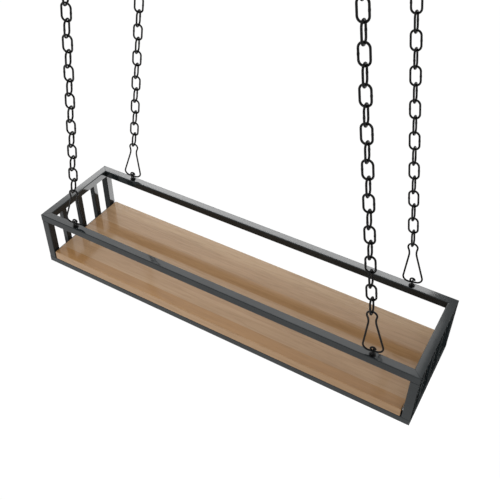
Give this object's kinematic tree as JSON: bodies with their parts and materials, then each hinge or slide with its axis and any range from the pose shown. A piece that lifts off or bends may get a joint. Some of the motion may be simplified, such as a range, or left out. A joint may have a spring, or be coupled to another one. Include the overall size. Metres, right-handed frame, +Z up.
{
  "type": "hanging plant shelf",
  "caption": "Hanging shelf: an open dark steel tray with railed ends and a wooden board, hung on welded chains and wire clips from screw hooks in the ceiling.",
  "frame": {"origin": "on the ceiling plane, in the middle of the rectangle of hook screws", "axes": "+X along the tray's length towards its right end, -Y towards its front, +Z up into the ceiling"},
  "size_m": [0.61, 0.155, 0.6142],
  "materials": {
    "dark_steel": "satin dark grey paint",
    "black_wire": "satin black paint",
    "zinc_steel": "bright zinc plating",
    "wood": "smooth, semi-gloss lacquered board with a light grain"
  },
  "bodies": {
    "ceiling_hooks": {"ceiling_hook_front_left": "black_wire", "ceiling_hook_front_right": "black_wire", "ceiling_hook_back_left": "black_wire", "ceiling_hook_back_right": "black_wire"},
    "chain_front_left": {"chain_flat_links_front_left": "black_wire", "chain_edge_links_front_left": "black_wire", "clip_front_left": "black_wire"},
    "chain_front_right": {"chain_flat_links_front_right": "black_wire", "chain_edge_links_front_right": "black_wire", "clip_front_right": "black_wire"},
    "chain_back_left": {"chain_flat_links_back_left": "black_wire", "chain_edge_links_back_left": "black_wire", "clip_back_left": "black_wire"},
    "chain_back_right": {"chain_flat_links_back_right": "black_wire", "chain_edge_links_back_right": "black_wire", "clip_back_right": "black_wire"},
    "tray": {"eye_bolt_front_left": "black_wire", "eye_bolt_front_right": "black_wire", "eye_bolt_back_left": "black_wire", "eye_bolt_back_right": "black_wire", "rivet_nuts": "zinc_steel", "top_rail_front": "dark_steel", "top_rail_back": "dark_steel", "top_rail_left": "dark_steel", "top_rail_right": "dark_steel", "bottom_rail_front": "dark_steel", "bottom_rail_back": "dark_steel", "bottom_rail_left": "dark_steel", "bottom_rail_right": "dark_steel", "post_front_left": "dark_steel", "post_front_right": "dark_steel", "post_back_left": "dark_steel", "post_back_right": "dark_steel", "slat_left_front": "dark_steel", "slat_left_middle": "dark_steel", "slat_left_back": "dark_steel", "slat_right_front": "dark_steel", "slat_right_middle": "dark_steel", "slat_right_back": "dark_steel", "board": "wood", "board_screws": "zinc_steel"}
  },
  "joints": [
    {"name": "front_left_chain_swing", "type": "hinge", "parent": "ceiling_hooks", "child": "chain_front_left", "pos_m": [-0.17, -0.07025, -0.02983], "axis": [1, 0, 0], "range_deg": [-25, 25]},
    {"name": "front_right_chain_swing", "type": "hinge", "parent": "ceiling_hooks", "child": "chain_front_right", "pos_m": [0.17, -0.07025, -0.02983], "axis": [1, 0, 0], "range_deg": [-25, 25]},
    {"name": "back_left_chain_swing", "type": "hinge", "parent": "ceiling_hooks", "child": "chain_back_left", "pos_m": [-0.17, 0.07025, -0.02983], "axis": [1, 0, 0], "range_deg": [-25, 25]},
    {"name": "back_right_chain_swing", "type": "hinge", "parent": "ceiling_hooks", "child": "chain_back_right", "pos_m": [0.17, 0.07025, -0.02983], "axis": [1, 0, 0], "range_deg": [-25, 25]},
    {"name": "tray_level", "type": "hinge", "parent": "chain_front_left", "child": "tray", "pos_m": [-0.24, -0.07025, -0.48174], "axis": [1, 0, 0], "range_deg": [-25, 25]}
  ],
  "couplings": [
    {"joint": "front_right_chain_swing", "follows": "front_left_chain_swing", "ratio": 1},
    {"joint": "back_left_chain_swing", "follows": "front_left_chain_swing", "ratio": 1},
    {"joint": "back_right_chain_swing", "follows": "front_left_chain_swing", "ratio": 1},
    {"joint": "tray_level", "follows": "front_left_chain_swing", "ratio": -1}
  ]
}
